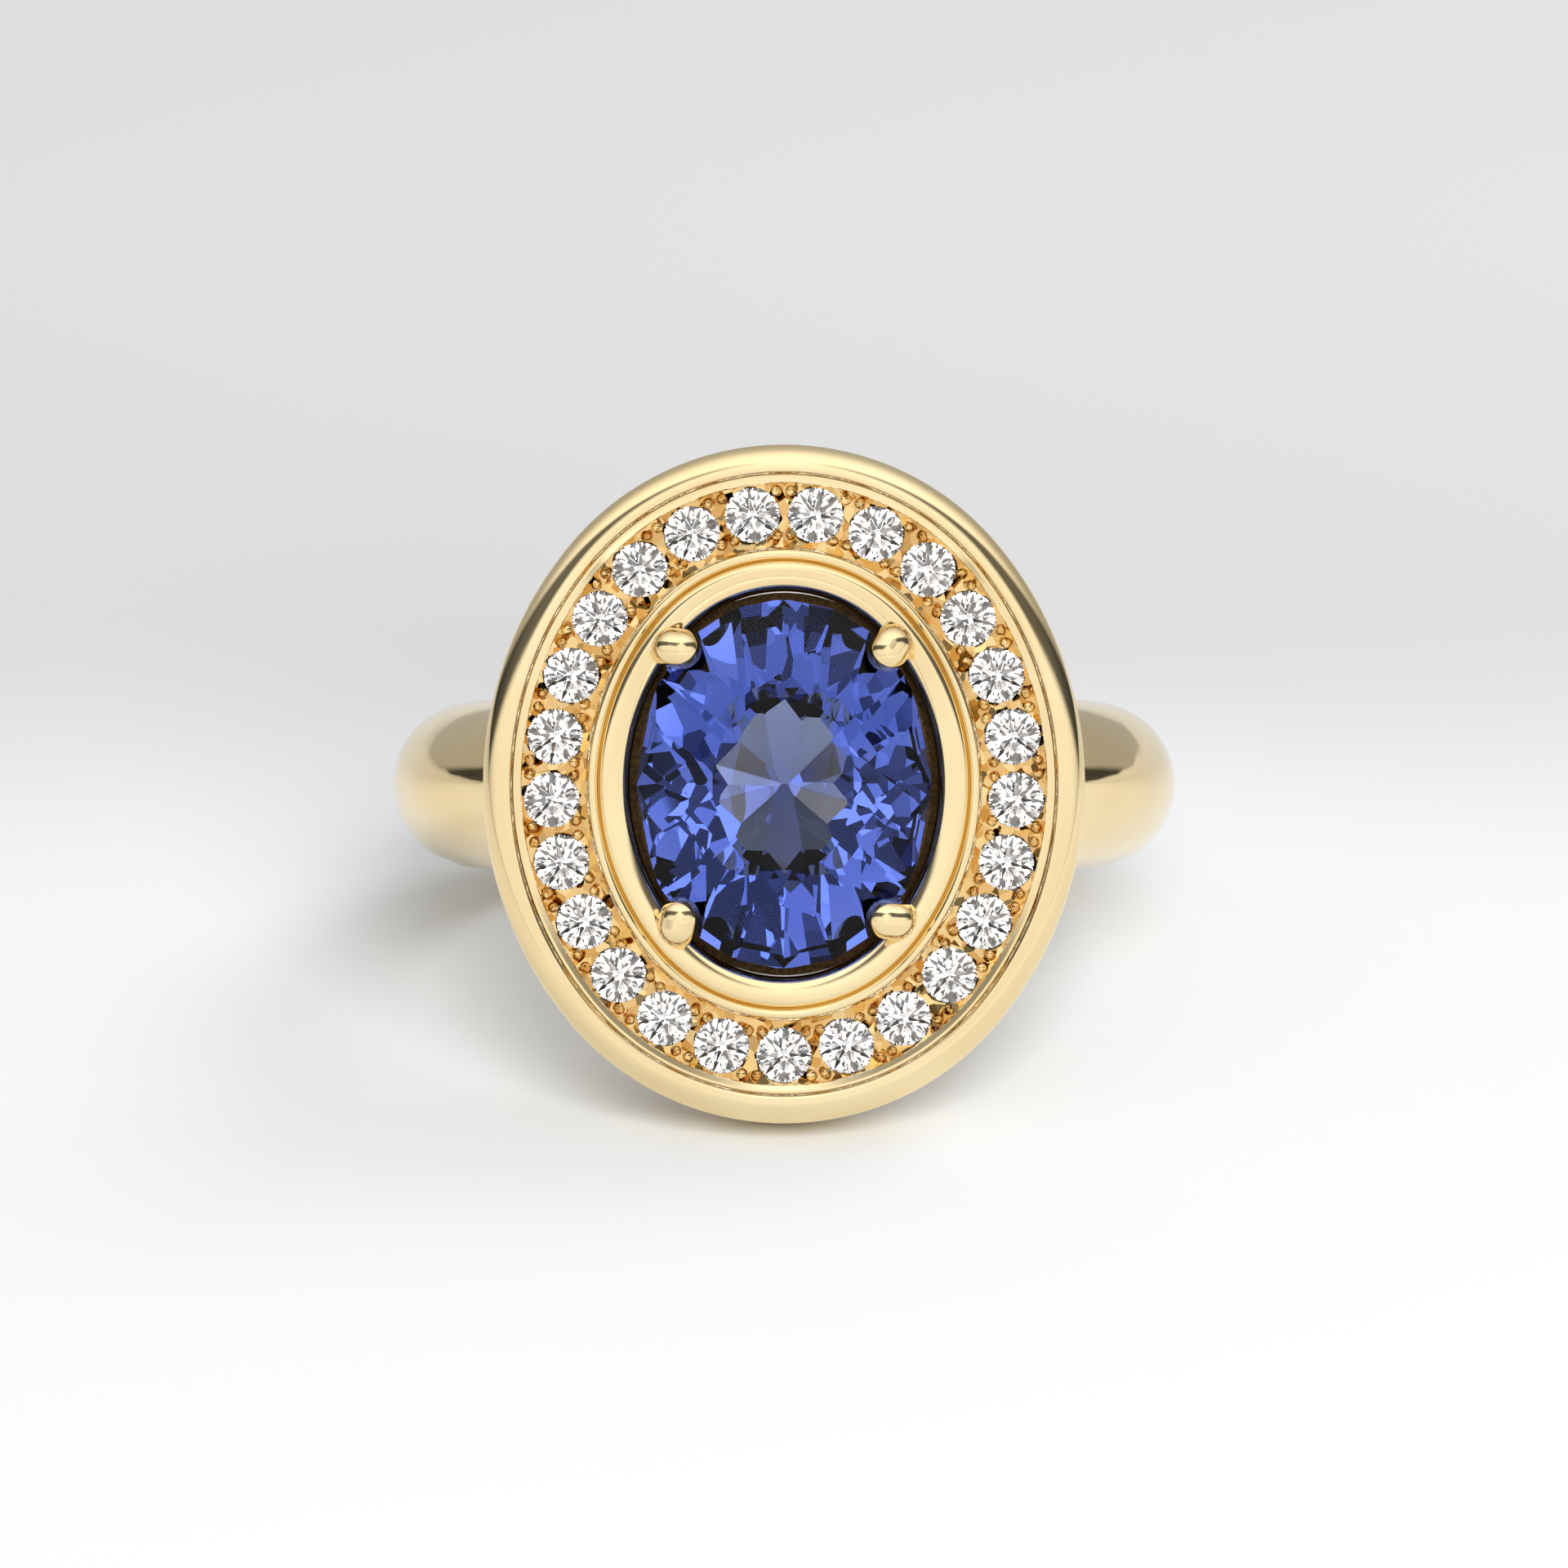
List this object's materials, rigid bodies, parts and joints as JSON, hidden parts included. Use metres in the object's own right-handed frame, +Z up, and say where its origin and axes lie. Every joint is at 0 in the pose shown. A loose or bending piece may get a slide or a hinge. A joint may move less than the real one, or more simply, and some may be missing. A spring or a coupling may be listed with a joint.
{
  "type": "halo ring",
  "caption": "Finger ring: a domed band carries an oval head with a large blue stone in claws, a raised inner frame, a recessed row of small clear stones and a domed outer rim.",
  "frame": {"origin": "middle of the base of the ring's box as it lies on a surface, on the rim of its head and the back of its shank", "axes": "+Z up, +X across the head, the head's face towards -Y and up; the finger hole's axis leans back from +Z in the YZ plane"},
  "size_m": [0.022, 0.0246, 0.0179],
  "materials": {
    "polished_gold": "polished yellow gold",
    "bright_cut_gold": "bright-cut yellow gold",
    "sapphire": "faceted blue sapphire",
    "diamond": "faceted colourless diamond"
  },
  "bodies": {
    "root": {"shank": "polished_gold", "gallery_collar": "polished_gold", "gallery_ribs": "polished_gold", "outer_rim": "polished_gold", "inner_frame": "polished_gold", "seat_rail": "polished_gold", "base_rail": "polished_gold", "claw_upper_left": "polished_gold", "claw_upper_right": "polished_gold", "claw_lower_left": "polished_gold", "claw_lower_right": "polished_gold", "halo_plate": "bright_cut_gold", "sapphire": "sapphire", "diamond_01": "diamond", "diamond_02": "diamond", "diamond_03": "diamond", "diamond_04": "diamond", "diamond_05": "diamond", "diamond_06": "diamond", "diamond_07": "diamond", "diamond_08": "diamond", "diamond_09": "diamond", "diamond_10": "diamond", "diamond_11": "diamond", "diamond_12": "diamond", "diamond_13": "diamond", "diamond_14": "diamond", "diamond_15": "diamond", "diamond_16": "diamond", "diamond_17": "diamond", "diamond_18": "diamond", "diamond_19": "diamond", "diamond_20": "diamond", "diamond_21": "diamond", "diamond_22": "diamond", "diamond_23": "diamond", "diamond_24": "diamond", "diamond_25": "diamond"}
  },
  "joints": []
}
